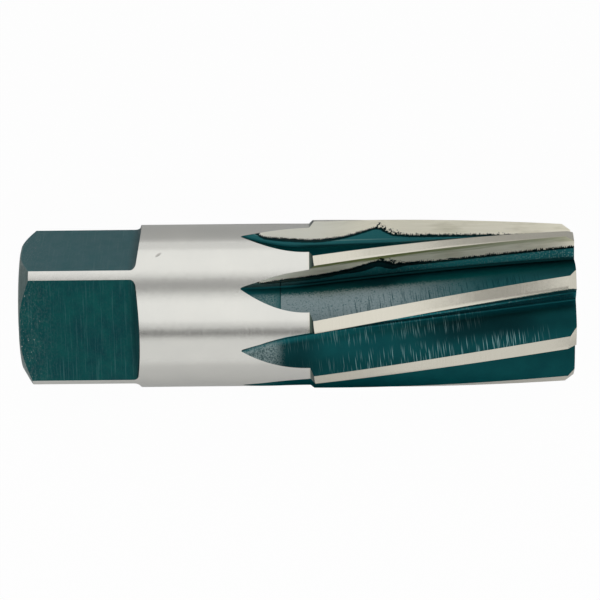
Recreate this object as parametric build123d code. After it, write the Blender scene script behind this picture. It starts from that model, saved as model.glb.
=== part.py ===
from build123d import *
import math
import os

# A taper pipe reamer in the 1 inch size: one piece of high speed steel with a
# square drive end, a plain round shank and a fluted cutting taper of 1 in 16.
# It lies along X. The drive end's face is at X = 0 and the cutting end points
# to +X. The axis of the tool is the X axis, and +Z is up.
# It lies as it would on a table, on two neighbouring teeth at the big end.

# whole tool and shank
overall_length = 96.6
shank_diameter = 28.575
shoulder_position = 51.1
shoulder_chamfer = 0.9

# cutting taper, measured on the tooth tips
big_end_diameter = 30.7
taper_per_length = 0.0625
nose_chamfer = 1.5
nose_chamfer_angle = 36.0

# square drive end
square_across_flats = 21.4
square_length = 21.15
square_wall_arc = 62.0
square_wall_fillet = 0.85
square_turn = 75.3
end_face_diameter = 21.7
end_chamfer_angle = 30.0
end_chamfer_crown = 0.03

# flutes, a left-hand spiral of right-hand cutting teeth
tooth_count = 8
edge_turn = 26.9
flute_lead = 545.0
flute_depth = 4.4
flute_floor_slope = 0.024
gullet_offset = 1.35
gullet_radius = 0.35
gullet_back_slope = 24.0
back_knee_offset = 4.7
back_knee_depth = 3.3
runout_radius = 31.0
runout_start = 0.5

# the ground strip below each cutting edge, and the ledge at its foot where the
# wheel stopped short of the milled wall
rake_face_depth = 2.65
rake_ledge = 0.6

# the land behind each cutting edge: a hair of round margin, then a flat that
# is backed off from the tangent
land_width = 2.25
land_margin = 0.12
land_relief_angle = 10.0

# centre holes that the tool was ground between
centre_hole_mouth = 7.0
centre_hole_pilot = 2.4
centre_hole_pilot_length = 3.0
centre_hole_angle = 60.0
centre_drill_point_angle = 118.0

# how far each cutter reaches past the surface that it cuts, and in how many
# stations the run-out and the rest of a flute are lofted
cutter_clearance = 3.0
drill_clearance = 0.5
runout_clearance = 1.0
runout_stations = 8
flute_stations = 8

shank_radius = shank_diameter / 2
big_radius = big_end_diameter / 2
taper_length = overall_length - shoulder_position
nose_radius = big_radius - taper_per_length / 2 * taper_length
tooth_pitch = 360 / tooth_count
runout_end = shoulder_position + runout_start


def make_blank():
    # the turned outline, from the drive end to the nose, spun round the axis;
    # the drive end's chamfer is domed by a hair
    face_radius = end_face_diameter / 2
    angle = math.radians(end_chamfer_angle)
    run = (shank_radius - face_radius) * math.tan(angle)
    face_edge = Vector(0, face_radius)
    shank_edge = Vector(run, shank_radius)
    crown = Vector(-math.cos(angle), math.sin(angle)) * end_chamfer_crown
    chamfer = ThreePointArc(face_edge, (face_edge + shank_edge) / 2 + crown, shank_edge)
    lip_radius = nose_radius + taper_per_length / 2 * nose_chamfer
    lip_drop = nose_chamfer * math.tan(math.radians(nose_chamfer_angle))
    rest = Polyline(
        shank_edge,
        (shoulder_position - shoulder_chamfer, shank_radius),
        (shoulder_position, big_radius),
        (overall_length - nose_chamfer, lip_radius),
        (overall_length, lip_radius - lip_drop),
        (overall_length, 0),
        (0, 0),
        face_edge,
    )
    return revolve(make_face(chamfer + rest), Axis.X)


def make_centre_hole():
    # a cone that opens at X = 0 and a short pilot hole below it, as one centre
    # drill leaves them
    mouth = centre_hole_mouth / 2
    pilot = centre_hole_pilot / 2
    widening = math.tan(math.radians(centre_hole_angle / 2))
    cone_end = (mouth - pilot) / widening
    pilot_end = cone_end + centre_hole_pilot_length
    point_end = pilot_end + pilot / math.tan(math.radians(centre_drill_point_angle / 2))
    outline = [
        (-drill_clearance, 0),
        (-drill_clearance, mouth + drill_clearance * widening),
        (cone_end, pilot),
        (pilot_end, pilot),
        (point_end, 0),
    ]
    return revolve(make_face(Polyline(*outline, close=True)), Axis.X)


def make_flat_cutter():
    # the path of a side mill: a disc that lies on one flat, with a rounded
    # lower rim, so the flat ends in a shallow arc with a fillet at its foot
    low = square_across_flats / 2
    high = shank_radius + cutter_clearance
    disc = Pos(square_length - square_wall_arc, 0, low) * Cylinder(
        square_wall_arc, high - low, align=(Align.CENTER, Align.CENTER, Align.MIN)
    )
    foot = disc.edges().group_by(Axis.Z)[0]
    return fillet(foot, square_wall_fillet)


def place_in_tooth(point, along):
    # a (sideways, outward) point beside the first tooth's cutting edge, at its
    # station along the tool and turned by the spiral
    turn = math.radians(edge_turn - 360 / flute_lead * (along - shoulder_position))
    y = point.Y * math.cos(turn) - point.X * math.sin(turn)
    z = point.Y * math.sin(turn) + point.X * math.cos(turn)
    return Vector(along, y, z)


def land_ends(tip_radius):
    # the next tooth's land as (sideways, outward) points: where its margin ends
    # and the flat begins, and its heel, where the flute's back meets it
    angle = math.radians(tooth_pitch) - land_margin / tip_radius
    fall = angle - math.radians(land_relief_angle)
    margin = Vector(tip_radius * math.sin(angle), tip_radius * math.cos(angle))
    flat = Vector(-math.cos(fall), math.sin(fall)) * (land_width - land_margin)
    return margin, margin + flat


def flute_lift(along):
    # how far the flute is raised at a station: its floor falls a little less
    # than the taper does, which keeps the lands as wide at the nose as at the
    # shoulder, and it rises along an arc where the mill ran out over the shank
    run = max(runout_end - along, 0)
    rise = runout_radius - math.sqrt(runout_radius**2 - run**2)
    return rise - flute_floor_slope * (along - shoulder_position)


def flute_profile():
    # the chip's outline at the shoulder as (sideways, outward) points: down
    # the ground rake face, out along its ledge, down the milled wall, round
    # the gullet, and up the tooth's back past the heel
    floor = big_radius - flute_depth
    rake_foot = big_radius - rake_face_depth
    gullet = Vector(gullet_offset, floor)
    ledge = Vector(rake_ledge, rake_foot)
    slope = math.radians(gullet_back_slope)
    up_wall = (ledge - gullet).normalized()
    up_back = Vector(math.cos(slope), math.sin(slope))
    half_angle = math.radians(up_wall.get_angle(up_back) / 2)
    tangent = gullet_radius / math.tan(half_angle)
    bottom = gullet_radius / math.sin(half_angle) - gullet_radius
    margin, heel = land_ends(big_radius)
    knee = Vector(back_knee_offset, big_radius - back_knee_depth)
    return {
        "rake_foot": Vector(0, rake_foot),
        "ledge": ledge,
        "wall_foot": gullet + up_wall * tangent,
        "gullet": gullet + (up_wall + up_back).normalized() * bottom,
        "back_foot": gullet + up_back * tangent,
        "knee": knee,
        "heel": heel,
        "past_heel": heel + (heel - knee).normalized() * cutter_clearance,
    }


def flute_section(profile, along):
    # the outline at one station, in a plane square to the axis, moved out by
    # the lift
    lift = Vector(0, flute_lift(along))
    roof = big_radius + cutter_clearance
    at = {name: place_in_tooth(point + lift, along) for name, point in profile.items()}
    edge_roof = place_in_tooth(Vector(0, roof) + lift, along)
    heel_roof = place_in_tooth(Vector(profile["past_heel"].X, roof) + lift, along)
    return Wire(
        [
            Edge.make_line(edge_roof, at["rake_foot"]),
            Edge.make_line(at["rake_foot"], at["ledge"]),
            Edge.make_line(at["ledge"], at["wall_foot"]),
            Edge.make_three_point_arc(at["wall_foot"], at["gullet"], at["back_foot"]),
            Edge.make_spline([at["back_foot"], at["knee"], at["heel"], at["past_heel"]]),
            Edge.make_line(at["past_heel"], heel_roof),
            Edge.make_line(heel_roof, edge_roof),
        ]
    )


def relief_section(along):
    # what is ground off one land at one station: all above the flat, from
    # over the next flute, past the margin, to over this one
    tip_radius = big_radius - taper_per_length / 2 * (along - shoulder_position)
    roof = tip_radius + cutter_clearance
    margin, heel = land_ends(tip_radius)
    reach = (heel - margin).normalized() * cutter_clearance
    front = margin - reach
    rear = heel + reach / 2
    corners = [front, rear, Vector(rear.X, roof), Vector(front.X, roof)]
    return Wire.make_polygon([place_in_tooth(point, along) for point in corners])


def make_flute():
    # stations from clear of the shank, through the run-out, past the nose
    profile = flute_profile()
    rise = shank_radius - (big_radius - flute_depth) + runout_clearance
    reach = math.sqrt(runout_radius**2 - (runout_radius - rise) ** 2)
    rest = overall_length + cutter_clearance - runout_end
    stations = [runout_end - reach * (1 - i / runout_stations) for i in range(runout_stations)]
    stations += [runout_end + rest * i / flute_stations for i in range(flute_stations + 1)]
    return Solid.make_loft([flute_section(profile, x) for x in stations], ruled=False)


def make_land_relief():
    # stations from the shoulder past the nose
    rest = overall_length + cutter_clearance - shoulder_position
    stations = [shoulder_position + rest * i / flute_stations for i in range(flute_stations + 1)]
    stations.insert(0, shoulder_position - shoulder_chamfer)
    return Solid.make_loft([relief_section(x) for x in stations], ruled=False)


# shape the blank, mill the square, drill the ends, cut the flutes and back
# off the lands
reamer = make_blank()
flat_cutter = make_flat_cutter()
for i in range(4):
    reamer -= Rot(square_turn - 45 + 90 * i, 0, 0) * (Rot(-90, 0, 0) * flat_cutter)
hole = make_centre_hole()
reamer -= hole
reamer -= Pos(overall_length, 0, 0) * Rot(0, 180, 0) * hole
flute = make_flute()
land_relief = make_land_relief()
for i in range(tooth_count):
    reamer -= Rot(tooth_pitch * i, 0, 0) * flute
    reamer -= Rot(tooth_pitch * i, 0, 0) * land_relief
reamer = reamer.solids().sort_by(SortBy.VOLUME)[-1]
reamer.label = "reamer"

os.makedirs("parts", exist_ok=True)
export_step(reamer, "parts/reamer.step")
print("reamer", round(reamer.volume), "mm3,", len(reamer.faces()), "faces")
print("centre of mass", reamer.center(CenterOf.MASS))
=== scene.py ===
# %% [markdown]
# # A taper pipe reamer, from its frame to its finish
#
# The object is one bar of high speed steel: a square end for a tap wrench, a round shank,
# and a slightly tapered nose with eight spiral flutes. This script builds it as a machinist
# does: a round blank is turned, four flats are milled for the square, and eight flutes are
# milled along the nose. Each cut leaves its own finish, and that is what the eye reads:
# bright ground steel on the shank and on the narrow lands, dark oxide coat everywhere else.

# %% Load the measured model
import math
from functools import partial

import bpy
from mathutils import Matrix, Vector


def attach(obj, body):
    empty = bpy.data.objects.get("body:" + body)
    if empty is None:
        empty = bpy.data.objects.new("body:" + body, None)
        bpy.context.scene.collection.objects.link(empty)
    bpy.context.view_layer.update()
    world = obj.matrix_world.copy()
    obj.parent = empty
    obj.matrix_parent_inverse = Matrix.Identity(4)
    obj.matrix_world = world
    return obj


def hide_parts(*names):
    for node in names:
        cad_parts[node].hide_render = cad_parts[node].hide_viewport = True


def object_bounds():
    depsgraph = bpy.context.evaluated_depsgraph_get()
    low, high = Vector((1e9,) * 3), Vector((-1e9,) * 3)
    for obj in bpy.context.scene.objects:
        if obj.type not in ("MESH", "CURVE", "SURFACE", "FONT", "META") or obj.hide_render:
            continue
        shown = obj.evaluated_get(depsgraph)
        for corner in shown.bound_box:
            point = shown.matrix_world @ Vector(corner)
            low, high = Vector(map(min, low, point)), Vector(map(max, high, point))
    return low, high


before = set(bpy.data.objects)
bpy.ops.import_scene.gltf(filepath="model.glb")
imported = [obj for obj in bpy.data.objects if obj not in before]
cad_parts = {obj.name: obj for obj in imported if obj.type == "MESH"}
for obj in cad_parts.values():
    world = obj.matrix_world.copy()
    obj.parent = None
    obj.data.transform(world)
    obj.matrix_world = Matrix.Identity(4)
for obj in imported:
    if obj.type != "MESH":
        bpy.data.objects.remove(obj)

cad_low, cad_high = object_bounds()
print("frame box, mm:", [round(v * 1000, 2) for v in cad_high - cad_low])

# %% [markdown]
# ## Sizes
#
# Blender works in metres, but a drawing of a cutting tool is in millimetres, so the sizes
# are written in millimetres and one short name turns them. The tool lies along X with its
# square end at zero, and its length comes from the frame. Angles across the tool are counted
# from +Y, and every cutter is made upright, pointing to +Z, and then turned.

# %% The sizes of the tool
MM = 0.001
TOOL_LENGTH = (cad_high.x - cad_low.x) / MM
SHANK_RADIUS = 14.2875
SHOULDER_AT = 51.1
SHOULDER_START, SHOULDER_END = 50.5, 51.35
BIG_RADIUS = 15.35
TAPER_SLOPE = 1 / 32
NOSE_CHAMFER = 1.5
NOSE_CHAMFER_ANGLE = math.radians(36)
FLAT_DISTANCE = 10.7
SQUARE_LENGTH = 21.15
SQUARE_TURN = 75.3
FACE_RADIUS = 10.85
FACE_CHAMFER_ANGLE = math.radians(30)
CENTRE_MOUTH = 3.5
CENTRE_PILOT = 1.2
CENTRE_PILOT_LENGTH = 3.0
CENTRE_HALF_ANGLE = math.radians(30)
DRILL_POINT_LENGTH = 0.5
TEETH = 8
PITCH = 360 / TEETH
EDGE_TURN = 26.9
FLUTE_LEAD = 545.0
FLUTE_DEPTH = 4.4
FLOOR_SLOPE = 0.024
LAND_WIDTH = 2.25
LAND_MARGIN = 0.12
LAND_RELIEF = math.radians(12)
RUNOUT_RADIUS = 31.0
RUNOUT_START = SHOULDER_AT + 0.5
UPRIGHT = 90.0


def tip_radius(at):
    """Radius in millimetres over the teeth, at a distance along X."""
    return BIG_RADIUS - TAPER_SLOPE * (at - SHOULDER_AT)


nose_radius = tip_radius(TOOL_LENGTH)
print("tool length, mm:", round(TOOL_LENGTH, 2), "tip radius at the nose:", round(nose_radius, 2))


def only(piece):
    """Selects this piece alone and makes it the active one."""
    bpy.ops.object.select_all(action="DESELECT")
    piece.select_set(True)
    bpy.context.view_layer.objects.active = piece


def shape_with(kind, piece, **settings):
    """Gives the piece a modifier of this kind with these settings, and applies it."""
    only(piece)
    bpy.ops.object.modifier_add(type=kind)
    modifier = piece.modifiers[-1]
    for name, value in settings.items():
        setattr(modifier, name, value)
    bpy.ops.object.modifier_apply(modifier=modifier.name)


# %% [markdown]
# ## The blank
#
# On a lathe the blank is a row of round steps. In Blender a ring of points can be extruded
# and resized from step to step, which follows the drawing of the turned part directly. Spinning
# a profile would give the same shape, but the ring keeps each step's radius in plain sight.
# The rings start and end at the bottom of the two centre holes, which the real bar has at
# both ends because it was ground between centres. The ring is fine, because a polished
# cylinder shows every facet in its reflections.

# %% The steps of the turned blank
RING_POINTS = 512
cone = (CENTRE_MOUTH - CENTRE_PILOT) / math.tan(CENTRE_HALF_ANGLE)
pilot_end = cone + CENTRE_PILOT_LENGTH
chamfer_run = (SHANK_RADIUS - FACE_RADIUS) * math.tan(FACE_CHAMFER_ANGLE)
lip_radius = nose_radius + TAPER_SLOPE * NOSE_CHAMFER
nose_face_radius = lip_radius - NOSE_CHAMFER * math.tan(NOSE_CHAMFER_ANGLE)
blank_steps = [
    (pilot_end + DRILL_POINT_LENGTH, CENTRE_PILOT / 2),
    (pilot_end, CENTRE_PILOT),
    (cone, CENTRE_PILOT),
    (0, CENTRE_MOUTH),
    (0, FACE_RADIUS),
    (chamfer_run, SHANK_RADIUS),
    (SHOULDER_START, SHANK_RADIUS),
    (SHOULDER_END, tip_radius(SHOULDER_END)),
    (TOOL_LENGTH - NOSE_CHAMFER, lip_radius),
    (TOOL_LENGTH, nose_face_radius),
    (TOOL_LENGTH, CENTRE_MOUTH),
    (TOOL_LENGTH - cone, CENTRE_PILOT),
    (TOOL_LENGTH - pilot_end, CENTRE_PILOT),
    (TOOL_LENGTH - pilot_end - DRILL_POINT_LENGTH, CENTRE_PILOT / 2),
]
print("steps of the blank:", len(blank_steps))


# %% Turn the blank from one ring
def close_ring():
    """Draws the selected ring together into one point on the axis."""
    bpy.ops.mesh.extrude_region_move()
    bpy.ops.mesh.merge(type="CENTER")


def turned(name, steps):
    """A closed round piece from steps of (distance along X, radius), in millimetres."""
    at, radius = steps[0]
    bpy.ops.object.select_all(action="DESELECT")
    bpy.ops.mesh.primitive_circle_add(
        vertices=RING_POINTS, radius=radius * MM, fill_type="NOTHING",
        location=(at * MM, 0, 0), rotation=(0, math.pi / 2, 0),
    )
    piece = bpy.context.active_object
    piece.name = name
    bpy.ops.object.transform_apply()
    bpy.ops.object.mode_set(mode="EDIT")
    bpy.ops.mesh.select_mode(type="VERT")
    bpy.ops.mesh.select_all(action="SELECT")
    for next_at, next_radius in steps[1:]:
        bpy.ops.mesh.extrude_region_move(
            TRANSFORM_OT_translate={"value": ((next_at - at) * MM, 0, 0)}
        )
        grow = next_radius / radius
        bpy.ops.transform.resize(value=(1, grow, grow), center_override=(next_at * MM, 0, 0))
        at, radius = next_at, next_radius
    close_ring()
    bpy.ops.mesh.select_all(action="DESELECT")
    bpy.ops.object.mode_set(mode="OBJECT")
    for vertex in piece.data.vertices[:RING_POINTS]:
        vertex.select = True
    bpy.ops.object.mode_set(mode="EDIT")
    close_ring()
    bpy.ops.mesh.select_all(action="SELECT")
    bpy.ops.mesh.normals_make_consistent()
    bpy.ops.object.mode_set(mode="OBJECT")
    return piece


reamer = turned("reamer_body", blank_steps)
print("blank:", len(reamer.data.vertices), "points,", len(reamer.data.polygons), "faces")

# %% [markdown]
# ## Four finishes
#
# The slots are given out before the cutting starts, because a boolean cut hands its cutter's
# material on to the new face. That is how each milled surface gets its own finish with no
# picking of faces afterwards. Here the materials are only named, and further down each one
# gets its nodes.

# %% Name the finishes
ground_steel = bpy.data.materials.new("ground_high_speed_steel")
square_oxide = bpy.data.materials.new("steam_oxide_on_milled_flats")
flute_oxide = bpy.data.materials.new("steam_oxide_in_flutes")
rake_steel = bpy.data.materials.new("ground_rake_faces")
for finish in (ground_steel, square_oxide, flute_oxide, rake_steel):
    reamer.data.materials.append(finish)
SQUARE, FLUTE, RAKE = 1, 2, 3
NOSE_FACE_FROM = TOOL_LENGTH - 0.1

for face in reamer.data.polygons:
    at = face.center.x / MM
    radius = math.hypot(face.center.y, face.center.z) / MM
    on_shoulder = SHOULDER_START < at < SHOULDER_END and radius > SHANK_RADIUS
    on_end = (at < chamfer_run or at > NOSE_FACE_FROM) and radius > CENTRE_MOUTH
    if on_shoulder or on_end:
        face.material_index = SQUARE
coated = sum(face.material_index == SQUARE for face in reamer.data.polygons)
print("coated faces of the blank:", coated)

# %% [markdown]
# ## The square
#
# A side mill cuts each flat. The mill is a large disc, so the flat ends at the shank in a
# shallow arc, and the disc's worn rim leaves a small round at the foot of that wall. The
# cutter here is that disc: a cylinder with its lower rim bevelled round, taken out of the
# blank four times.

# %% Cut the four flats
MILL_RADIUS = 62.0
MILL_RIM = 0.85
MILL_HEIGHT = 6.6
MILL_POINTS, RIM_STEPS = 720, 8
TOUCHING = 1e-6


def cut(piece, cutter):
    """Takes the cutter's volume out of the piece, and the cutter away."""
    shape_with(
        "BOOLEAN", piece, operation="DIFFERENCE", solver="MANIFOLD", material_mode="TRANSFER",
        object=cutter,
    )
    bpy.data.objects.remove(cutter)


def turned_copy(source, degrees):
    """A copy with its own mesh, turned round the tool's axis."""
    copy = source.copy()
    copy.data = source.data.copy()
    bpy.context.scene.collection.objects.link(copy)
    copy.matrix_world = Matrix.Rotation(math.radians(degrees), 4, "X")
    only(copy)
    bpy.ops.object.transform_apply(location=False, rotation=True, scale=False)
    return copy


bpy.ops.object.select_all(action="DESELECT")
bpy.ops.mesh.primitive_cylinder_add(
    vertices=MILL_POINTS, radius=MILL_RADIUS * MM, depth=MILL_HEIGHT * MM,
    location=((SQUARE_LENGTH - MILL_RADIUS) * MM, 0, (FLAT_DISTANCE + MILL_HEIGHT / 2) * MM),
)
side_mill = bpy.context.active_object
side_mill.name = "side_mill"
bpy.ops.object.transform_apply()
side_mill.data.materials.append(square_oxide)
bpy.ops.object.mode_set(mode="EDIT")
bpy.ops.mesh.select_all(action="DESELECT")
bpy.ops.mesh.select_mode(type="EDGE")
bpy.ops.object.mode_set(mode="OBJECT")
lowest = FLAT_DISTANCE * MM
for edge in side_mill.data.edges:
    ends = [side_mill.data.vertices[i].co.z for i in edge.vertices]
    edge.select = all(abs(z - lowest) < TOUCHING for z in ends)
bpy.ops.object.mode_set(mode="EDIT")
bpy.ops.mesh.bevel(offset=MILL_RIM * MM, segments=RIM_STEPS)
bpy.ops.object.mode_set(mode="OBJECT")

first_flat = SQUARE_TURN - 45 - UPRIGHT
for quarter in range(4):
    cut(reamer, turned_copy(side_mill, first_flat + 90 * quarter))
bpy.data.objects.remove(side_mill)
print("after the square:", len(reamer.data.polygons), "faces")

# %% [markdown]
# ## The flutes
#
# A flute is the path of a form mill: the same outline all the way along, lowered with the
# taper, turned by the spiral, and lifted out along an arc where the mill left the shank.
# The outline has a leaning wall under the cutting edge, a tight corner, and a back that
# rises in two slopes to the heel of the next tooth. It is drawn once as a ring of points
# and extruded station by station, straight along X, with each step's lift. Then one Twist
# winds the whole chip into its spiral, which is simpler and truer than turning every station.
# The tight corner is what makes the pointed tip where the flute runs out on the shank.

# %% Draw the flute's outline
ROOF_ABOVE = 3.0
WALL_STAND_OFF = 0.3
WALL_BEND = BIG_RADIUS - 1.6
CORNER = (1.35, BIG_RADIUS - FLUTE_DEPTH)
CORNER_RADIUS = 0.35
KNEE = (4.7, BIG_RADIUS - 3.3)
UPPER_POINTS, WALL_POINTS, CORNER_POINTS = 5, 14, 7
BACK_POINTS, PAST_POINTS, ROOF_POINTS = 34, 6, 8
PAST_HEEL = 3.0
SLOPE_STEP = 0.3
roof = BIG_RADIUS + ROOF_ABOVE
margin_angle = 2 * math.pi / TEETH - LAND_MARGIN / BIG_RADIUS
fall_angle = margin_angle - LAND_RELIEF
flat_width = LAND_WIDTH - LAND_MARGIN
heel = (
    BIG_RADIUS * math.sin(margin_angle) - flat_width * math.cos(fall_angle),
    BIG_RADIUS * math.cos(margin_angle) + flat_width * math.sin(fall_angle),
)


def back_height(side):
    """The height of the flute's back at a sideways distance from the cutting edge: one
    curve through the corner, the knee and the heel."""
    (x0, y0), (x1, y1), (x2, y2) = CORNER, KNEE, heel
    a = (side - x1) * (side - x2) / ((x0 - x1) * (x0 - x2)) * y0
    b = (side - x0) * (side - x2) / ((x1 - x0) * (x1 - x2)) * y1
    c = (side - x0) * (side - x1) / ((x2 - x0) * (x2 - x1)) * y2
    return a + b + c


def rounded_corner(before, corner, after, radius, count):
    """Points of an arc that rounds the corner between two straight sides."""
    corner = Vector(corner)
    one, two = (Vector(before) - corner).normalized(), (Vector(after) - corner).normalized()
    half = one.angle(two) / 2
    middle = corner + (one + two).normalized() * radius / math.sin(half)
    start = (corner + one * radius / math.tan(half) - middle).normalized()
    end = (corner + two * radius / math.tan(half) - middle).normalized()
    return [middle + start.slerp(end, i / (count - 1)) * radius for i in range(count)]


def flute_outline():
    """The chip's outline as (sideways, outward) points in millimetres, in ring order."""
    bend = (WALL_STAND_OFF, WALL_BEND)
    wall = WALL_BEND - roof
    points = [(WALL_STAND_OFF, roof + wall * i / UPPER_POINTS) for i in range(UPPER_POINTS)]
    up_back = (CORNER[0] + 1, back_height(CORNER[0] + 1))
    foot = rounded_corner(bend, CORNER, up_back, CORNER_RADIUS, CORNER_POINTS)
    for i in range(WALL_POINTS):
        points.append(Vector(bend).lerp(foot[0], i / WALL_POINTS))
    points += foot
    start = foot[-1][0]
    for i in range(1, BACK_POINTS):
        side = start + (heel[0] - start) * i / BACK_POINTS
        points.append((side, back_height(side)))
    slope = (back_height(heel[0]) - back_height(heel[0] - SLOPE_STEP)) / SLOPE_STEP
    for i in range(PAST_POINTS + 1):
        past = PAST_HEEL * i / PAST_POINTS
        points.append((heel[0] + past, heel[1] + slope * past))
    far = points[-1][0]
    for i in range(ROOF_POINTS):
        points.append((far + (WALL_STAND_OFF - far) * i / ROOF_POINTS, roof))
    return points


outline = flute_outline()
print("flute outline:", len(outline), "points, heel at", [round(v, 2) for v in heel])


# %% Sweep a chip along the nose and twist it
CHIP_END = TOOL_LENGTH + 1.5
STATION_STEP = 0.5


def stations_from(start):
    """A station every half millimetre, from there to just past the nose."""
    count = int((CHIP_END - start) / STATION_STEP) + 1
    return [start + STATION_STEP * i for i in range(count)]


def flute_lift(at):
    """How far the flute is raised at a distance along X: down towards the nose, a little
    less than the taper, and up the arc of the run-out."""
    lift = -FLOOR_SLOPE * (at - SHOULDER_AT)
    run = max(RUNOUT_START - at, 0)
    return lift + RUNOUT_RADIUS - math.sqrt(RUNOUT_RADIUS**2 - run**2)


def swept_chip(name, outline, stations, lift, shift=lambda at: 0.0):
    """A twisted bar of the outline, raised and shifted sideways at each station by what
    lift and shift give there. Without a shift it stays at the cutting edge."""
    bpy.ops.object.select_all(action="DESELECT")
    bpy.ops.mesh.primitive_circle_add(
        vertices=len(outline), radius=MM, fill_type="NGON", rotation=(0, math.pi / 2, 0)
    )
    chip = bpy.context.active_object
    chip.name = name
    bpy.ops.object.transform_apply()
    for vertex, (side, out) in zip(chip.data.vertices, outline):
        vertex.co = Vector((stations[0], -side - shift(stations[0]), out + lift(stations[0]))) * MM
    bpy.ops.object.mode_set(mode="EDIT")
    bpy.ops.mesh.select_mode(type="FACE")
    bpy.ops.mesh.select_all(action="SELECT")
    for here, there in zip(stations, stations[1:]):
        step = (there - here, shift(here) - shift(there), lift(there) - lift(here))
        bpy.ops.mesh.extrude_region_move(
            TRANSFORM_OT_translate={"value": [part * MM for part in step]}
        )
    bpy.ops.mesh.select_all(action="SELECT")
    bpy.ops.mesh.normals_make_consistent()
    bpy.ops.object.mode_set(mode="OBJECT")
    turn = -2 * math.pi * (stations[-1] - stations[0]) / FLUTE_LEAD
    shape_with("SIMPLE_DEFORM", chip, deform_method="TWIST", deform_axis="X", angle=turn)
    print(name, len(chip.data.vertices), "points over", len(stations), "stations")
    return chip


def cut_every_tooth(chip):
    """Takes a copy of the chip out of the reamer at every tooth. The twist left the chip
    upright at X = 0."""
    first_turn = EDGE_TURN + 360 / FLUTE_LEAD * SHOULDER_AT - UPRIGHT
    for tooth in range(TEETH):
        cut(reamer, turned_copy(chip, first_turn + PITCH * tooth))
    bpy.data.objects.remove(chip)


# %% Mill the eight flutes
FLUTE_CHIP_FROM = 36.0
flute_chip = swept_chip("flute_chip", outline, stations_from(FLUTE_CHIP_FROM), flute_lift)
flute_chip.data.materials.append(flute_oxide)
cut_every_tooth(flute_chip)
print("after the flutes:", len(reamer.data.polygons), "faces")

# %% [markdown]
# ## The ground rake faces
#
# The mill leaves a wall that is too rough to cut with, so a wheel then grinds the upper part
# of each wall flat. The first plunge leaves a leaf shape over the shoulder, and a second
# pass goes on to the nose. Below it stays a small ledge and the rest of the milled wall.
# The wheel's rim is worn round, so the face is a little hollow towards its foot. This is a
# second, thinner chip: its foot follows the depth of the wheel along the tool.

# %% Grind the rake faces
# how deep the wheel went: (distance along X, radius of its lower end), in millimetres
GRIND_DEPTHS = [
    (41.3, 14.5), (41.7, 13.95), (42.3, 13.55), (43.0, 13.3), (44.2, 13.0), (45.4, 12.76),
    (47.6, 12.42), (49.8, 12.17), (52.2, 12.03), (54.5, 12.14), (56.7, 12.42), (58.5, 12.78),
    (60.2, 13.2), (62.1, 13.72), (63.0, 13.5), (64.0, 12.95), (65.1, 12.45), (68.0, 12.12),
    (73.4, 11.97), (80.1, 11.88), (90.0, 11.85), (99.0, 11.85),
]


def grind_depth(at):
    """Radius in millimetres down to which the wheel went, at a distance along X."""
    for (x0, r0), (x1, r1) in zip(GRIND_DEPTHS, GRIND_DEPTHS[1:]):
        if at <= x1:
            return r0 + (r1 - r0) * max(at - x0, 0) / (x1 - x0)
    return GRIND_DEPTHS[-1][1]


WHEEL_WIDTH, WHEEL_HEIGHT = 1.9, 5.2
FOOT_SLOPE = 0.12
HOLLOW, HOLLOW_HEIGHT = 0.45, 3.4
ENTRY_END, ENTRY_LENGTH = 46.5, 5.0
ENTRY_OFF, ENTRY_CURVE = 0.5, 1.25
SIDE_POINTS, HOLLOW_POINTS, WHEEL_POINTS = 6, 10, 4
GROUND_SIDE = 0.8


def grind_shift(at):
    """How far the wheel stands off the edge's plane: a little where it entered the wall,
    and less than nothing where its hollow would otherwise move the cutting edge."""
    missed = max(1 - (tip_radius(at) - grind_depth(at)) / HOLLOW_HEIGHT, 0)
    held_in = HOLLOW * missed**2 if at > SHOULDER_AT else 0
    return ENTRY_OFF * (max(ENTRY_END - at, 0) / ENTRY_LENGTH) ** ENTRY_CURVE - held_in


grind_outline = [
    (0, HOLLOW_HEIGHT + (WHEEL_HEIGHT - HOLLOW_HEIGHT) * (1 - i / SIDE_POINTS))
    for i in range(SIDE_POINTS)
]
for i in range(HOLLOW_POINTS + 1):
    low = 1 - i / HOLLOW_POINTS
    grind_outline.append((HOLLOW * (1 - low) ** 2, HOLLOW_HEIGHT * low))
for i in range(1, WHEEL_POINTS + 1):
    part = i / WHEEL_POINTS
    grind_outline.append((HOLLOW + (WHEEL_WIDTH - HOLLOW) * part, FOOT_SLOPE * WHEEL_WIDTH * part))
grind_outline += [(WHEEL_WIDTH * (1 - i / WHEEL_POINTS), WHEEL_HEIGHT) for i in range(WHEEL_POINTS)]
grind_stations = [41.3, 41.5, 41.7, 42.0, 42.3, 42.6, 43.0, 43.5] + stations_from(44.0)
grind_chip = swept_chip("grind_chip", grind_outline, grind_stations, grind_depth, grind_shift)
grind_chip.data.materials.append(rake_steel)
grind_chip.data.materials.append(flute_oxide)
# only the wheel's flat side leaves bright steel, and its lower end leaves a coated ledge
for face in grind_chip.data.polygons:
    angle = math.radians(360 / FLUTE_LEAD * (face.center.x / MM))
    across = face.normal.y * math.cos(angle) - face.normal.z * math.sin(angle)
    face.material_index = 0 if across > GROUND_SIDE else 1
cut_every_tooth(grind_chip)
print("after the grinding:", len(reamer.data.polygons), "faces")

# %% [markdown]
# ## The lands
#
# Behind each cutting edge a hair of the turned blank stays as a round margin, and behind
# that the land is ground flat and backed off, so that only the edge touches the work. It is
# the flat that gives each land one even tone across its width.

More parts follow.
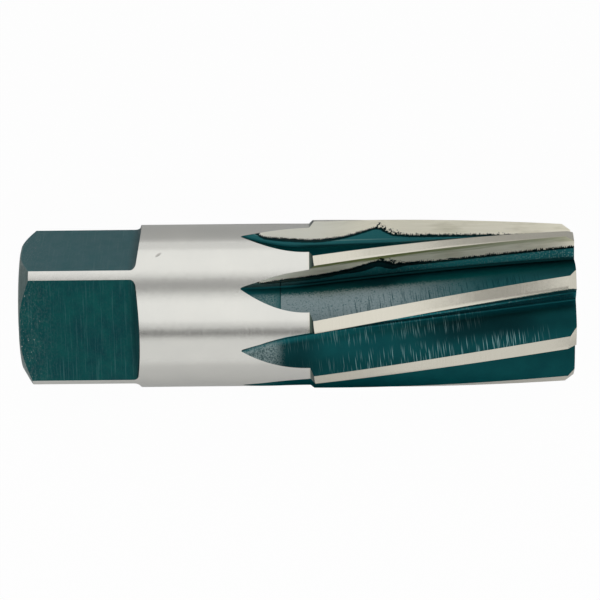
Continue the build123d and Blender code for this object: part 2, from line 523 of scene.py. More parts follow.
# %% Back off the lands
RELIEF_LEAD, RELIEF_REACH = 0.5, 1.2
RELIEF_POINTS = 8
RELIEF_FROM = SHOULDER_AT - 1.1
relief_way = Vector((-math.cos(LAND_RELIEF), -math.sin(LAND_RELIEF)))
margin_end = Vector((-LAND_MARGIN, BIG_RADIUS))
relief_front = margin_end - relief_way * RELIEF_LEAD
relief_rear = margin_end + relief_way * (flat_width + RELIEF_REACH)
relief_roof = BIG_RADIUS + RELIEF_REACH
relief_outline = [relief_front.lerp(relief_rear, i / RELIEF_POINTS) for i in range(RELIEF_POINTS + 1)]
relief_outline += [(relief_rear.x, relief_roof), (relief_front.x, relief_roof)]


def land_lift(at):
    """How far the land is raised at a distance along X: down with the taper."""
    return -TAPER_SLOPE * (at - SHOULDER_AT)


relief_chip = swept_chip("relief_chip", relief_outline, stations_from(RELIEF_FROM), land_lift)
relief_chip.data.materials.append(ground_steel)
cut_every_tooth(relief_chip)
print("after the lands:", len(reamer.data.polygons), "faces")

# %% [markdown]
# ## Smooth faces, sharp edges
#
# The tool is smooth along each ground or milled face and sharp between them. Shading by
# angle marks the sharp edges, and Weighted Normal then lets the large faces rule, so the
# thin slivers that the cuts leave on the shank don't bend its reflections.

# %% Shade the piece
SHARP_ANGLE = math.radians(18)
LARGE_FACE_WEIGHT = 60
only(reamer)
bpy.ops.object.shade_smooth_by_angle(angle=SHARP_ANGLE)
shape_with("WEIGHTED_NORMAL", reamer, mode="FACE_AREA", weight=LARGE_FACE_WEIGHT, keep_sharp=True)
for finish in reamer.data.materials:
    print("slot:", finish.name)

# %% [markdown]
# ## A map along each flute
#
# The flute's finish changes across the cut: bright where the rake face was ground, black in
# the corner from painted shade, scratched near the heel. Object coordinates can't say that
# simply on a spiral, so each flute face gets its own map: along the tool in one direction,
# and in the other the distance from what matters there. On a milled face that is the flute's
# corner, and on a ground face the lower end of the wheel's cut. Both are kept in centimetres,
# so the map has a real size. A second map holds the number of the tooth, for what differs
# between flutes, and one more distance: on a milled face that from the end of the wheel's
# cut, and on a ground face that from the cutting edge.

# %% Lay the maps into the flutes
CM = 10.0
EDGE_SLACK = 3  # degrees by which a face may lie ahead of its own tooth's edge
flute_map = reamer.data.uv_layers.new(name="flute_map")
tooth_map = reamer.data.uv_layers.new(name="tooth_map")


def edge_turn_at(at):
    """Angle in degrees at which tooth 0's cutting edge stands at a distance along X."""
    return EDGE_TURN - 360 / FLUTE_LEAD * (at - SHOULDER_AT)


def from_corner(side, out):
    """Distance from the flute's corner in mm, less than zero on the wall."""
    distance = math.hypot(side - CORNER[0], out - CORNER[1])
    on_wall = (out - CORNER[1]) > (side - CORNER[0])
    return -distance if on_wall else distance


for face in reamer.data.polygons:
    if face.material_index not in (FLUTE, RAKE):
        continue
    centre = face.center / MM
    angle = math.degrees(math.atan2(centre.z, centre.y))
    tooth = math.floor((angle - edge_turn_at(centre.x) + EDGE_SLACK) / PITCH)
    for corner in face.loop_indices:
        p = reamer.data.vertices[reamer.data.loops[corner].vertex_index].co / MM
        turn = math.radians(edge_turn_at(p.x) + PITCH * tooth)
        side = -p.y * math.sin(turn) + p.z * math.cos(turn)
        out = p.y * math.cos(turn) + p.z * math.sin(turn)
        above_wheel = out - grind_depth(p.x)
        below_edge = tip_radius(p.x) - out
        if face.material_index == RAKE:
            across, other = above_wheel, below_edge
        else:
            across, other = from_corner(side, out - flute_lift(p.x)), above_wheel
        flute_map.data[corner].uv = (p.x / CM, across / CM)
        tooth_map.data[corner].uv = ((tooth % TEETH + 0.5) / TEETH, other / CM)
print("maps:", [layer.name for layer in reamer.data.uv_layers])

# %% [markdown]
# ## Colours and nodes
#
# Colours are written as the hex values that a colour picker shows on screen, and Blender
# wants linear light, so one function turns them. The scale of a pattern is worked out from
# the real size of its marks in millimetres: 1 / 7 stands for seven marks in a millimetre,
# and a pattern that is alike in all directions takes that number itself, times a metre.
# One function adds a node, sets it and links it, and each finish is then a few patterns
# and a list of thin layers of colour, from the clean skin up to the last scratch.

# %% Helpers for materials
METRE = 1000.0
SMOOTH = {"interpolation_type": "SMOOTHSTEP"}


def linear(hex_colour):
    """An sRGB hex colour as the linear RGBA that shader sockets take."""
    channels = [int(hex_colour[i : i + 2], 16) / 255 for i in (1, 3, 5)]
    low = [c / 12.92 if c <= 0.04045 else ((c + 0.055) / 1.055) ** 2.4 for c in channels]
    return (*low, 1.0)


def grain(unit, *sizes):
    """The scale of a pattern with marks of these sizes along each axis, in millimetres,
    for coordinates that count in this unit, also in millimetres."""
    return [unit / size for size in sizes]


def set_inputs(node, inputs):
    """Gives a node's inputs their values. A hex colour is turned to linear light, and
    another node stands for its first output and is linked."""
    for name, value in inputs.items():
        socket = node.inputs[name]
        if isinstance(value, bpy.types.Node):
            value = value.outputs[0]
        if isinstance(value, bpy.types.NodeSocket):
            node.id_data.links.new(value, socket)
        else:
            socket.default_value = linear(value) if isinstance(value, str) else value


def add_node(tree, kind, *inputs, **more):
    """Adds a node. Its kind may name an operation after a colon. Values and other nodes
    fill its inputs from the top, a word with a capital names an input, and any other word
    is one of the node's settings."""
    kind, _, operation = kind.partition(":")
    node = tree.nodes.new("ShaderNode" + kind)
    if operation:
        node.operation = operation
    for name, value in more.items():
        if name[0].islower():
            setattr(node, name, value)
    named = {name: value for name, value in more.items() if name[0].isupper()}
    set_inputs(node, {**dict(enumerate(inputs)), **named})
    return node


def start_nodes(owner, shader="Principled BSDF"):
    """Turns on the nodes of a material or a world. Gives the function that adds a node
    there, and the shader that the colours lead to."""
    owner.use_nodes = True
    return partial(add_node, owner.node_tree), owner.node_tree.nodes[shader]


def lay_colours(add, colour, *layers):
    """Lays colours over one another. In each layer the last entry is its colour, and the
    ones before it are multiplied with each other into its share."""
    for *factors, over in layers:
        share = factors[0]
        for factor in factors[1:]:
            share = add("Math:MULTIPLY", share, factor)
        colour = add("MixRGB", share, colour, over)
    return colour


def count_nodes(owner):
    """Prints how many nodes this has by now."""
    print(owner.name, "has", len(owner.node_tree.nodes), "nodes")


# %% [markdown]
# ## Ground steel
#
# The shank, the corner lands of the square and the lands of the teeth are ground on a
# cylindrical grinder, round and round. Its real marks are rings a few thousandths of a
# millimetre apart, too fine to show, so here they are drawn as coarse as a pixel of the
# photograph can carry: a soft grain and a slight unrest in the edges of the reflections.
# The rings are a noise that is squeezed along X, and a second, calmer noise makes the
# wheel's chatter. The steel is bare metal, so its colour is the colour of its reflections,
# a little warmer on the teeth, which were ground on another machine.

# %% Ground steel on shank and lands
TEETH_FROM, TEETH_TO = 50.0, 51.2
add, shader = start_nodes(ground_steel)
place = add("TexCoord").outputs["Object"]
along = add("SeparateXYZ", place).outputs["X"]
ring_place = add("Mapping", place, Scale=grain(METRE, 1 / 7, 4, 4))
rings = add("TexNoise", ring_place, Scale=1.0, Detail=3.0, Roughness=0.6)
chatter_place = add("Mapping", place, Scale=grain(METRE, 1 / 0.9, 1 / 0.42, 1 / 0.42))
chatter = add("TexNoise", chatter_place, Scale=1.0, Detail=4.0, Roughness=0.55)
cloud_place = add("Mapping", place, Scale=grain(METRE, 1 / 0.12, 6.25, 6.25))
clouds = add("TexNoise", cloud_place, Scale=1.0, Detail=3.0, Roughness=0.5)
on_teeth = add("MapRange", along, TEETH_FROM * MM, TEETH_TO * MM)
steel_tone = add("MixRGB", clouds, "#DDDDD8", "#ECEBE4")
tooth_tone = add("MixRGB", rings, "#D8D4C5", "#E3DFD1")

# a small slanting dent in the shank, with a dull floor, left by a vice or a fall
DENT = Vector((24.4, 7.34, 12.26)) * MM
LONG_WAY, DENT_LENGTH = Vector((0.707, 0.606, -0.364)), 0.75
SHORT_WAY, DENT_WIDTH = Vector((0.707, -0.606, 0.364)), 0.3
from_dent = add("VectorMath:SUBTRACT", place, DENT)
long_part, short_part = [
    add("VectorMath:DOT_PRODUCT", from_dent, way / (size * MM)).outputs["Value"]
    for way, size in ((LONG_WAY, DENT_LENGTH), (SHORT_WAY, DENT_WIDTH))
]
dent_place = add("CombineXYZ", long_part, short_part, 0.0)
dent_distance = add("VectorMath:LENGTH", dent_place).outputs["Value"]
dent_ragged = add("Math:MULTIPLY_ADD", rings, 0.8, dent_distance)
dent = add("MapRange", dent_ragged, 0.7, 1.5, 1.0, 0.0, **SMOOTH)
ring_bump = add("Bump", Height=rings, Distance=0.006 * MM)
chatter_bump = add("Bump", Height=chatter, Distance=0.02 * MM, Normal=ring_bump)
dent_bump = add("Bump", invert=True, Height=dent, Distance=0.06 * MM, Normal=chatter_bump)
set_inputs(shader, {
    "Base Color": lay_colours(add, steel_tone, (on_teeth, tooth_tone), (dent, 0.6, "#9B9892")),
    "Metallic": 1.0,
    "Roughness": add("MapRange", rings, 0.25, 0.75, 0.13, 0.21),
    "Normal": dent_bump,
})
count_nodes(ground_steel)

# %% [markdown]
# ## Oxide on the square
#
# Steam tempering gives milled steel a dark blue-green skin. It is so thin that the metal
# still shines through it, so the finish is a dark coloured metal and not a paint. On the
# flats the marks of the side mill run across the tool as fine lines, the skin is cloudy,
# and near the end, where a wrench slides on, it is rubbed and peppered with bare specks.
# The rim of the end is worn, its chamfer is rubbed, and painted shade darkens the skin at the
# foot of each wall. The shoulder's chamfer has the same skin and goes from a worn grey-green to
# black.

# %% Oxide on the milled flats and chamfers
SKIN_TONES = ((0.33, "#0A4A4F"), (0.68, "#0E5A58"))
add, shader = start_nodes(square_oxide)
place = add("TexCoord").outputs["Object"]
along = add("SeparateXYZ", place).outputs["X"]
line_place = add("Mapping", place, Scale=grain(METRE, 1 / 3.6, 1 / 0.11, 1 / 0.11))
lines = add("TexNoise", line_place, Scale=1.0, Detail=4.0, Roughness=0.65)
cloud_place = add("Mapping", place, Scale=grain(METRE, 1 / 0.42, 1 / 0.3, 1 / 0.3))
clouds = add("TexNoise", cloud_place, Scale=1.0, Detail=5.0, Roughness=0.6)
speck_place = add("Mapping", place, Scale=grain(METRE, 1 / 3.6, 0.5, 0.5))
specks = add("TexNoise", speck_place, Scale=1.0, Detail=3.0, Roughness=0.7)
skin = add("ValToRGB", clouds)
for stop, (position, tone) in zip(skin.color_ramp.elements, SKIN_TONES):
    stop.position = position
    stop.color = linear(tone)

# the flat that looks up, painted lighter as painted light, the mill's lines, the rubbed end
# and its bare specks
flat_turn = math.radians(SQUARE_TURN - 45)
up_flat = Vector((0, math.cos(flat_turn), math.sin(flat_turn)))
off_axis = add("VectorMath:DOT_PRODUCT", place, up_flat / MM).outputs["Value"]
up_flat_painted_light = add("Math:GREATER_THAN", off_axis, FLAT_DISTANCE - 0.1)
line_share = add("MapRange", lines, 0.54, 0.74, 0.0, 0.5)
rubbed = add("MapRange", along, 1.0 * MM, 8.0 * MM, 0.2, 0.03, **SMOOTH)
speck_share = add("MapRange", specks, 0.46, 0.62)
bare_limit = add("MapRange", along, 0.0, 9.0 * MM, 0.67, 0.80)
bare = add("Math:GREATER_THAN", specks, bare_limit)

# the worn rim of the end, the rubbed chamfer, the painted shade at the foot of the wall,
# and the shoulder
across_place = add("VectorMath:MULTIPLY", place, (0, 1, 1))
radius = add("VectorMath:LENGTH", across_place).outputs["Value"]
chamfer_radius = add("Math:MULTIPLY_ADD", along, 1 / math.tan(FACE_CHAMFER_ANGLE), FACE_RADIUS * MM)
on_chamfer = add("Math:COMPARE", radius, chamfer_radius, 0.08 * MM)
rim = add("MapRange", along, 0.1 * MM, 0.4 * MM, 0.5, 0.0, **SMOOTH)
chamfer_rubbed = add("Math:MULTIPLY_ADD", on_chamfer, 0.36, rim)
# painted shade: the skin darkens towards the foot of the wall at the end of the square
painted_foot_shade = add("MapRange", along, 18.8 * MM, 20.6 * MM, 0.0, 0.55, **SMOOTH)
shoulder_black = add("MapRange", along, 50.6 * MM, 51.1 * MM)
shoulder_tone = add("MixRGB", shoulder_black, "#5C6E64", "#12302C")
past_square = add("Math:GREATER_THAN", along, 40.0 * MM)
before_nose = add("Math:LESS_THAN", along, 60.0 * MM)
skin_wear_and_painted_shading = lay_colours(
    add, skin,
    # painted light: the flat that looks up is painted lighter and bluer
    (up_flat_painted_light, 0.9, "#0E6870"),
    (line_share, "#4E7F80"),
    (rubbed, speck_share, "#7E8F8C"),
    (bare, "#C9CDCA"),
    (chamfer_rubbed, clouds, "#B4BAB5"),
    (painted_foot_shade, "#04262B"),
    (past_square, before_nose, shoulder_tone),
)
line_bump = add("Bump", Height=lines, Distance=0.015 * MM)
set_inputs(shader, {
    "Base Color": skin_wear_and_painted_shading,
    "Metallic": 1.0,
    "Roughness": add("MapRange", clouds, 0.3, 0.7, 0.34, 0.46),
    "Coat Weight": 0.7,
    "Coat IOR": 1.2,
    "Coat Roughness": 0.35,
    "Normal": add("Bump", Height=specks, Distance=0.012 * MM, Normal=line_bump),
})
count_nodes(square_oxide)

# %% [markdown]
# ## Oxide in the flutes
#
# The same skin, but on a rougher milled surface, and on a tool that has been used. The
# corner of the flute is painted nearly black, as painted shade. The wall above it is speckled,
# because chips were pressed against it. Chips have scratched fine bright lines up the back of
# one flute, and another has a painted grey sheen near the shoulder. All of this is placed by
# the flute's own map, and the number of the tooth says which flute is meant. So every place
# from here on is in centimetres: along the tool, and up from the flute's corner.

# %% Oxide in the flutes: the skin itself
SAME_TOOTH = 0.02


def read_maps(add):
    """What the two maps hold: the flute map itself, the distance along the tool, the two
    distances across the cut, and one mask for each of the three flutes in sight."""
    flute_uv = add("UVMap", uv_map="flute_map").outputs[0]
    places = add("SeparateXYZ", flute_uv).outputs
    tooth = add("SeparateXYZ", add("UVMap", uv_map="tooth_map")).outputs
    flutes = [add("Math:COMPARE", tooth[0], (i + 0.5) / TEETH, SAME_TOOTH) for i in range(3)]
    return flute_uv, places[0], places[1], tooth[1], flutes


add, shader = start_nodes(flute_oxide)
flute_uv, along, height, above_wheel, (first, second, third) = read_maps(add)
place = add("TexCoord").outputs["Object"]
wide = add("TexNoise", place, Scale=METRE * 0.26, Detail=4.0, Roughness=0.6)
fine = add("TexNoise", place, Scale=METRE * 3.6, Detail=3.0, Roughness=0.7)
skin = add("MixRGB", wide, "#0F4147", "#165658")
# painted shade: the skin darkens into the flute's corner
corner_painted_shade = add("MapRange", height, 0.03, 0.27, 0.25, 0.0, **SMOOTH)

# one flute is darker towards the nose and near where it starts, with a nearly black patch
# low on its back
dark_part = add("MapRange", along, 6.3, 7.8, 0.0, 0.7, **SMOOTH)
for source, *ends in ((height, 0.35, 0.62, 1.0, 0.25), (along, 8.5, 9.3, 1.0, 0.35)):
    fade = add("MapRange", source, *ends, **SMOOTH)
    dark_part = add("Math:MULTIPLY", dark_part, fade)
dark_start = add("MapRange", along, 4.8, 5.5, 0.6, 0.0, **SMOOTH)
dark = add("Math:MAXIMUM", dark_part, dark_start)
skin_and_painted_corner_shade = lay_colours(add, skin, (corner_painted_shade, "#04262A"), (dark, third, "#0B2428"))
count_nodes(flute_oxide)

# %% Marks on the flute's wall
# The wall between the ledge and the corner is finely speckled. On the first flute it stayed
# smooth, with one painted highlight along the step that the mill left. The corner itself gets
# the darkest painted shade.
wall = add("MapRange", height, -0.02, -0.05)
wall_two = add("ValToRGB", add("MapRange", along, 6.6, 9.4))
wall_two.color_ramp.elements[0].color = linear("#2B777B")
wall_two.color_ramp.elements[1].color = linear("#226165")
wall_two.color_ramp.elements.new(0.32).color = linear("#3DA0A5")
wall_one = add("MixRGB", second, "#2A666A", wall_two)
# the wall's own tone on each flute; the third flute's wall is painted lighter, painted light for the
# shade it sits in
wall_tone_and_painted_fill = add("MixRGB", third, wall_one, "#2C7C84")
worn_start = add("MapRange", along, 4.3, 5.2, 0.7, 0.0, **SMOOTH)
speck_place = add("Mapping", flute_uv, Scale=grain(CM, 1 / 3, 1 / 3.8, CM))
specks = add("TexVoronoi", speck_place, voronoi_dimensions="2D", Scale=1.0)
speck_dot = add("MapRange", specks.outputs["Distance"], 0.10, 0.42, 1.0, 0.0)
speck_chance = add("SeparateXYZ", specks.outputs["Color"])
speck_level = add("MapRange", speck_chance, 0.3, 0.9, 0.0, 0.7)
speck_later = add("MapRange", along, 6.0, 6.8, 0.25, 1.0)
speck_flute = add("Math:MULTIPLY_ADD", first, -0.9, 1.0)
# painted highlight: a light line along the step on the first flute's wall
step_painted_highlight = add("Math:COMPARE", height, -0.115, 0.011)
step_end = add("MapRange", along, 6.0, 6.8, 0.35, 0.0)
off_corner = add("Math:ABSOLUTE", height)
# painted shade: the corner itself is painted nearly black
painted_corner_black_shade = add("MapRange", off_corner, 0.03, 0.075, 0.95, 0.0, **SMOOTH)
corner_calm = add("Math:MULTIPLY_ADD", third, -1.0, 1.0)
corner_start = add("MapRange", along, 4.6, 5.1, 0.1, 1.0, **SMOOTH)

# painted shadow: a dark ragged line just below the ground face, under its ledge, wider on
# the second flute where the two passes of the wheel met, and a little wider on the first
meeting_from = add("MapRange", along, 5.5, 6.1, 0.0, 0.09, **SMOOTH)
meeting_to = add("MapRange", along, 6.3, 6.8, 1.0, 0.0, **SMOOTH)
meeting = add("Math:MULTIPLY", meeting_from, meeting_to)
meeting_ledge_shadow = add("Math:MULTIPLY_ADD", meeting, second, above_wheel)
wider_ledge_shadow = add("Math:MULTIPLY_ADD", first, 0.02, meeting_ledge_shadow)
ragged_ledge_shadow = add("Math:MULTIPLY_ADD", fine, 0.03, wider_ledge_shadow)
painted_ledge_shadow = add("MapRange", ragged_ledge_shadow, 0.0, 0.012, 0.0, 0.9)

# painted light: the third flute's corner is lifted towards the tone of its back, so it is
# hardly darker than its back
third_corner_painted_fill = add("MapRange", height, 0.02, 0.15, 0.85, 0.0, **SMOOTH)
on_back = add("MapRange", height, 0.0, 0.05, 0.1, 1.0)
walled_skin = lay_colours(
    add, skin_and_painted_corner_shade,
    (wall, wall_tone_and_painted_fill),
    (worn_start, second, wall, "#9DB2AC"),
    (wall, speck_dot, speck_level, speck_later, speck_flute, "#9DBDBA"),
    (step_painted_highlight, step_end, first, "#7FA7A4"),
    (painted_corner_black_shade, corner_start, corner_calm, "#08292B"),
    (painted_ledge_shadow, wall, corner_calm, "#021214"),
    (third_corner_painted_fill, on_back, third, "#1A696F"),
)
count_nodes(flute_oxide)

# %% Painted grey sheen on one flute, and the run-out's tip
# Painted sheen: one flute's back is painted grey, as a broad painted reflection, from where the
# mill ran out to about the middle of the nose. Its edge towards the dark corner is grainy, and
# the grey is broken by dark specks.
sheen_fade = add("MapRange", along, 6.0, 8.3, 1.0, 0.06, **SMOOTH)
sheen_start = add("Math:GREATER_THAN", along, 4.56)
sheen_edge = add("MapRange", along, 4.6, 7.6, 0.17, 0.34)
above_edge = add("Math:SUBTRACT", height, sheen_edge)
grainy = add("Math:MULTIPLY_ADD", fine, 0.22, above_edge)
painted_sheen_body = add("MapRange", grainy, 0.08, 0.20, 0.0, 0.92, **SMOOTH)
sheen_gaps = add("MapRange", fine, 0.36, 0.42, 0.35, 1.0)
painted_sheen_tone = add("MixRGB", fine, "#5C7277", "#9AA6A7")

# where the mill was lifted out, its last pass crossed the surface at an angle and left a
# matt, finely speckled tip; painted shade draws a dark crease where the two surfaces meet
tip_ragged = add("Math:MULTIPLY_ADD", fine, 0.5, along)
tip = add("MapRange", tip_ragged, 4.72, 4.86, 1.0, 0.0)
tip_third = add("Math:MULTIPLY_ADD", third, 0.9, 0.1)
tip_wear = add("Math:MULTIPLY_ADD", second, 0.45, tip_third)
tip_speck = add("MapRange", fine, 0.38, 0.62, 0.12, 0.95)
tip_height = add("Math:MULTIPLY_ADD", second, -0.13, height)
tip_on_back = add("MapRange", tip_height, 0.0, 0.08)
painted_crease_shade = add("Math:COMPARE", along, 4.55, 0.009)
crease_up = add("MapRange", height, 0.1, 0.4, 1.0, 0.3)
back_with_sheen_tip_and_crease = lay_colours(
    add, walled_skin,
    (second, painted_sheen_body, sheen_fade, sheen_start, sheen_gaps, painted_sheen_tone),
    (tip, tip_wear, tip_speck, tip_on_back, "#8A9C9C"),
    (painted_crease_shade, crease_up, second, "#0F2E32"),
)
count_nodes(flute_oxide)

# %% Chip scratches
# Chips slid up the back and cut fine lines through the skin, in one row just below the heel
# and in one near the corner. Each line is one cell of a Voronoi pattern that is many times
# as tall as it is wide, and the cell's random colour says how bright the line is. On the
# flute with the painted grey sheen the same marks near the heel are dark.
LINE_LEAN = 0.11
LINE_ROWS = (
    ((0.36, 0.58, 0.0, 1.0), (5.0, 6.2, 0.12, 1.0), (8.6, 9.4, 1.0, 0.0)),
    ((0.20, 0.36, 0.7, 0.0), (5.0, 5.8, 0.2, 1.0), (7.4, 8.2, 1.0, 0.0)),
)
lean_place = add("Mapping", flute_uv, Rotation=(0, 0, LINE_LEAN))
scratch_place = add("Mapping", lean_place, Scale=grain(CM, 0.2, 5, CM))
scratches = add("TexVoronoi", scratch_place, voronoi_dimensions="2D", Scale=1.0)
line_shape = add("MapRange", scratches.outputs["Distance"], 0.14, 0.31, 1.0, 0.0)
line_chance = add("SeparateXYZ", scratches.outputs["Color"])
line_level = add("MapRange", line_chance, 0.15, 1.0)
rows = []
for up_the_back, begins, ends in LINE_ROWS:
    row = add("MapRange", height, *up_the_back, **SMOOTH)
    for limits in (begins, ends):
        fade = add("MapRange", along, *limits, **SMOOTH)
        row = add("Math:MULTIPLY", row, fade)
    rows.append(row)
heel_row, corner_row = rows
any_row = add("Math:MAXIMUM", heel_row, corner_row)
scratch = line_shape
for factor in (line_level, any_row, third):
    scratch = add("Math:MULTIPLY", scratch, factor)
dark_shape = add("MapRange", scratches.outputs["Distance"], 0.2, 0.42, 1.0, 0.0)
scratched = lay_colours(
    add, back_with_sheen_tip_and_crease,
    (scratch, "#8FB6B8"),
    (dark_shape, line_level, heel_row, second, "#0B3A3E"),
)
fine_bump = add("Bump", Height=fine, Distance=0.01 * MM)
set_inputs(shader, {
    "Base Color": scratched,
    "Metallic": 1.0,
    "Roughness": 0.4,
    "Specular Tint": "#7F9C9C",
    "Normal": add("Bump", invert=True, Height=scratch, Distance=0.01 * MM, Normal=fine_bump),
})
count_nodes(flute_oxide)

# %% [markdown]
# ## The ground rake faces
#
# A cup wheel ground these faces along the tool, which left fine lines in that direction, a
# warm, slightly brown grey from the heat, and a ragged lower edge where the wheel only just
# touched the milled wall. Its real lines are finer than a pixel of the photograph, so they
# are drawn a third of a millimetre apart. The first plunge left a matt, frosted face that
# scatters part of the light, and the second tooth was burnt olive along its cutting edge.
# Heights here are counted up from the lower end of the wheel's cut.

# %% Rake steel
add, shader = start_nodes(rake_steel)
flute_uv, along, height, below_edge, (_, second, third) = read_maps(add)
place = add("TexCoord").outputs["Object"]
line_place = add("Mapping", flute_uv, Scale=grain(CM, 1 / 0.09, 1 / 3.4, CM))
lines = add("TexNoise", line_place, noise_dimensions="2D", Scale=1.0, Detail=4.0, Roughness=0.65)
cloud_place = add("Mapping", flute_uv, Scale=grain(CM, 1 / 0.14, 1 / 0.7, CM))
clouds = add("TexNoise", cloud_place, noise_dimensions="2D", Scale=1.0, Detail=3.0, Roughness=0.5)
line_tone = add("MixRGB", lines, "#E9E5D0", "#FBF7EA")
scorch = add("MapRange", clouds, 0.52, 0.75, 0.0, 0.3)
matt_place = add("Math:MULTIPLY_ADD", second, 0.8, along)
matt = add("MapRange", matt_place, 5.0, 6.2, 1.0, 0.0, **SMOOTH)
bare_metal = add("Math:MULTIPLY_ADD", matt, -0.5, 1.0)
burnt_limit = add("Math:MULTIPLY_ADD", lines, 0.12, below_edge)
burnt = add("MapRange", burnt_limit, 0.10, 0.17, 1.0, 0.05, **SMOOTH)
burnt_less = add("MapRange", along, 6.5, 8.8, 0.9, 0.4)

# the ragged lower edge: the wheel touched only the crests of the mill's feed marks
MARK_SPACING = 0.034
fine = add("TexNoise", place, Scale=METRE * 2.4, Detail=3.0, Roughness=0.7)
mark_turn = add("Math:MULTIPLY", along, 2 * math.pi / MARK_SPACING)
mark_wave = add("Math:SINE", mark_turn)
ragged_wave = add("Math:MULTIPLY_ADD", mark_wave, 0.010, height)
second_pass = add("MapRange", along, 6.18, 6.24, 0.12, 1.0)
grit_size = add("MapRange", along, 6.2, 6.8, 0.60, 0.13)
grit = add("Math:MULTIPLY", grit_size, second_pass)
off_mean = add("Math:SUBTRACT", 0.5, fine)
ragged = add("Math:MULTIPLY_ADD", off_mean, grit, ragged_wave)
coat_start = add("Math:MULTIPLY_ADD", second, 0.05, 0.045)
coat_rest = add("Math:MULTIPLY_ADD", third, 0.14, 0.020)
coat_height = add("MapRange", along, 6.3, 6.9, coat_start, coat_rest, **SMOOTH)
ragged_limit = add("Math:MULTIPLY", coat_height, second_pass)
leaf_seam = add("MapRange", along, 4.7, 5.3, 0.0, 0.03)
leaf_until = add("MapRange", along, 6.7, 7.5, 1.0, 0.0, **SMOOTH)
leaf_part = add("Math:MULTIPLY", leaf_seam, leaf_until)
leaf_limit = add("Math:MULTIPLY_ADD", leaf_part, second, 0.016)
coat_limit = add("Math:MAXIMUM", ragged_limit, leaf_limit)
still_coated = add("Math:LESS_THAN", ragged, coat_limit)
rake_tone = lay_colours(
    add, line_tone,
    (scorch, "#A9A383"),
    (matt, "#FFFDF0"),
    (burnt, burnt_less, second, "#848F47"),
    (still_coated, add("MixRGB", third, "#041C1F", "#124C50")),
)
set_inputs(shader, {
    "Base Color": rake_tone,
    "Metallic": bare_metal,
    "Roughness": 0.6,
    "Normal": add("Bump", Height=lines, Distance=0.01 * MM),
})
count_nodes(rake_steel)

# %% Say what the piece stands for
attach(reamer, "root")
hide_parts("reamer")
print("finishes:", len(reamer.data.materials))

# %% [markdown]
# ## The camera
#
# The picture was taken from almost straight above with a long lens, so the far side of the
# tool is hardly smaller than the near one. The camera's place is worked out from how far
# off it stood and how many pixels one millimetre of the tool takes.

# %% Place the camera
IMAGE_WIDTH = 600
PIXELS_PER_MM = 5.674
CAMERA_DISTANCE = 600.0
CAMERA_ELEVATION = math.radians(82.6)
CAMERA_YAW = math.radians(0.6)
CAMERA_ROLL = math.radians(0.56)
AIM_ALONG = 48.73
AIM_UP = 0.78
SENSOR_WIDTH = 36.0

back = Vector((0, -math.cos(CAMERA_ELEVATION), math.sin(CAMERA_ELEVATION)))
right = Vector((1, 0, 0))
up = back.cross(right)
yaw = Matrix.Rotation(CAMERA_YAW, 3, up)
back, right = yaw @ back, yaw @ right
roll = Matrix.Rotation(-CAMERA_ROLL, 3, back)
right, up = roll @ right, roll @ up
middle = Vector((AIM_ALONG * MM, 0, 0))
camera_data = bpy.data.cameras.new("camera")
camera = bpy.data.objects.new("camera", camera_data)
bpy.context.scene.collection.objects.link(camera)
camera_data.sensor_width = SENSOR_WIDTH
camera_data.lens = SENSOR_WIDTH * PIXELS_PER_MM * CAMERA_DISTANCE / IMAGE_WIDTH
camera_data.clip_start = 0.01
place = Matrix((right, up, back)).transposed().to_4x4()
place.translation = middle + up * AIM_UP * MM + back * CAMERA_DISTANCE * MM
camera.matrix_world = place
bpy.context.scene.camera = camera
print("lens, mm:", round(camera_data.lens, 1))

# %% [markdown]
# ## Floor and light
#
# Polished steel shows the room more than its own colour. The photograph was taken in a white
# tent: the shank is white nearly all over, with two dark lines along it, where the tent has
# gaps. So the world here is white and even, and two dark cards with soft edges hang beside
# the tool, as a product photographer hangs them to give round metal its lines. Two large
# soft lamps, one above and one behind, give the flutes their shade. The floor is white, with
# a painted shadow that darkens its colour towards the tool and painted light that brightens it
# in front, and it keeps the tool's soft shadow; for the camera most of it glows white, as a
# cut-out on white paper would look.

# %% The white table
FLOOR_SIZE = 6.0
PAPER_WHITE = 0.93
bpy.ops.object.select_all(action="DESELECT")
bpy.ops.mesh.primitive_plane_add(size=FLOOR_SIZE, location=(AIM_ALONG * MM, 0, cad_low.z))
floor = bpy.context.active_object
floor.name = "floor"
table_white = bpy.data.materials.new("white_table")
floor.data.materials.append(table_white)
add, paper = start_nodes(table_white)
place = add("TexCoord").outputs["Object"]
tool_place = add("Mapping", place, Scale=(0.4, 1, 1))
tool_distance = add("VectorMath:LENGTH", tool_place).outputs["Value"]
# painted shadow: the floor's colour darkens towards the tool, and painted light brightens it in front
painted_floor_shadow = add("MapRange", tool_distance, 0.0, 0.45, 0.50, PAPER_WHITE,
                  interpolation_type="SMOOTHERSTEP")
in_front = add("SeparateXYZ", place).outputs["Y"]
painted_front_light = add("MapRange", in_front, 0.02, -0.04, 0.0, 0.22, **SMOOTH)
floor_tone_with_painted_light = add("Math:ADD", painted_floor_shadow, painted_front_light, use_clamp=True)
set_inputs(paper, {
    "Base Color": add("Math:MINIMUM", floor_tone_with_painted_light, PAPER_WHITE),
    "Roughness": 0.8,
    "Specular IOR Level": 0.2,
})
glow = add("Emission", "#FFFFFF", 1.0)
path = add("LightPath").outputs
mirrored = add("Math:MAXIMUM", path["Is Glossy Ray"], path["Is Transmission Ray"])
mirrored_share = add("Math:MULTIPLY", mirrored, 0.05)
glow_share = add("Math:MULTIPLY_ADD", path["Is Camera Ray"], 0.975, mirrored_share)
table_end = table_white.node_tree.nodes["Material Output"]
set_inputs(table_end, {"Surface": add("MixShader", glow_share, paper, glow)})
print("floor at, mm:", round(cad_low.z / MM, 2))

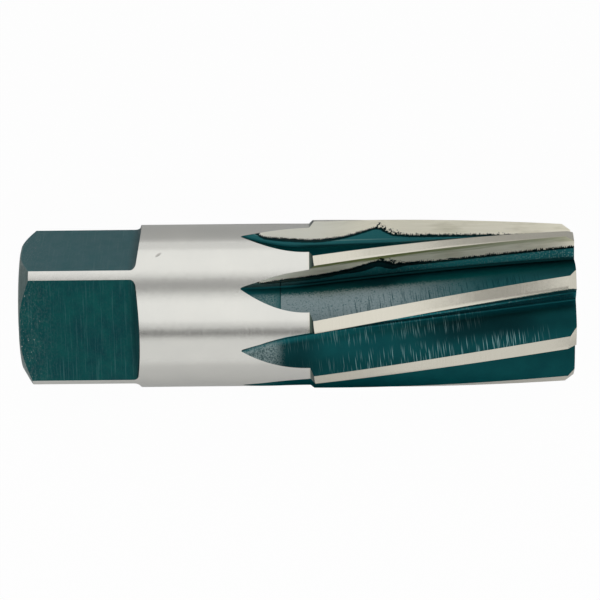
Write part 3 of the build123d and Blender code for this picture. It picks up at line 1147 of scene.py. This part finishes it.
# %% The white world
WORLD_LEVEL = 0.75
world = bpy.data.worlds.new("white_tent")
bpy.context.scene.world = world
add, background = start_nodes(world, "Background")
path = add("LightPath").outputs
seen = add("Math:MAXIMUM", path["Is Camera Ray"], path["Is Transmission Ray"])
level = add("MapRange", seen, 0.0, 1.0, WORLD_LEVEL, 1.0)
set_inputs(background, {"Color": "#FFFFFF", "Strength": level})
bpy.context.scene.view_settings.view_transform = "Standard"
count_nodes(world)


# %% Two dark cards and two soft lamps
def toward(angle):
    """Unit direction across the tool, at an angle in degrees from the camera's own
    direction, positive towards the bottom of the picture."""
    a = CAMERA_ELEVATION - math.radians(angle)
    return Vector((0, -math.cos(a), math.sin(a)))


def hang(thing, angle, distance):
    """Hangs a card or a lamp beside the tool, facing the tool's middle and out of sight."""
    thing.rotation_mode = "QUATERNION"
    thing.rotation_quaternion = toward(angle).to_track_quat("Z", "Y")
    thing.location = toward(angle) * distance + middle
    thing.visible_camera = False


CARD_DISTANCE = 0.5
CARD_LENGTH = 1.6
CARDS = (
    ("card_back", -28, 24, "#7A7A7A", 0.56),
    ("card_front", 38.7, 11, "#4A4A4A", 0.77),
)
for name, angle, half_angle, grey, density in CARDS:
    width = 2 * CARD_DISTANCE * math.tan(math.radians(half_angle))
    bpy.ops.object.select_all(action="DESELECT")
    bpy.ops.mesh.primitive_plane_add(size=1.0)
    card = bpy.context.active_object
    card.name = name
    card.scale = (CARD_LENGTH, width, 1)
    bpy.ops.object.transform_apply(location=False, rotation=False, scale=True)
    hang(card, angle, CARD_DISTANCE)
    card_paper = bpy.data.materials.new(name + "_paper")
    card.data.materials.append(card_paper)
    add, surface = start_nodes(card_paper)
    set_inputs(surface, {"Base Color": grey, "Roughness": 0.9})
    across = add("SeparateXYZ", add("TexCoord").outputs["Object"]).outputs["Y"]
    off_middle = add("Math:ABSOLUTE", across)
    dense = add("MapRange", off_middle, 0.0, width / 2, density, 0.0, **SMOOTH)
    clear = add("BsdfTransparent", "#FFFFFF")
    card_end = card_paper.node_tree.nodes["Material Output"]
    set_inputs(card_end, {"Surface": add("MixShader", dense, clear, surface)})
    card.visible_shadow = False
    print(name, "is", round(width / MM), "mm wide")

LAMP_RADIANCE = 0.2
LAMP_LENGTH, LAMP_WIDTH = 2.4, 0.8
for name, angle, distance in (("lamp_above", 2, 1.0), ("lamp_back", -62, 0.9)):
    lamp_data = bpy.data.lights.new(name, "AREA")
    lamp_data.shape = "RECTANGLE"
    lamp_data.size, lamp_data.size_y = LAMP_LENGTH, LAMP_WIDTH
    lamp_data.energy = math.pi * LAMP_LENGTH * LAMP_WIDTH * LAMP_RADIANCE
    lamp = bpy.data.objects.new(name, lamp_data)
    bpy.context.scene.collection.objects.link(lamp)
    hang(lamp, angle, distance)
    print(name, "watts:", round(lamp_data.energy, 2))
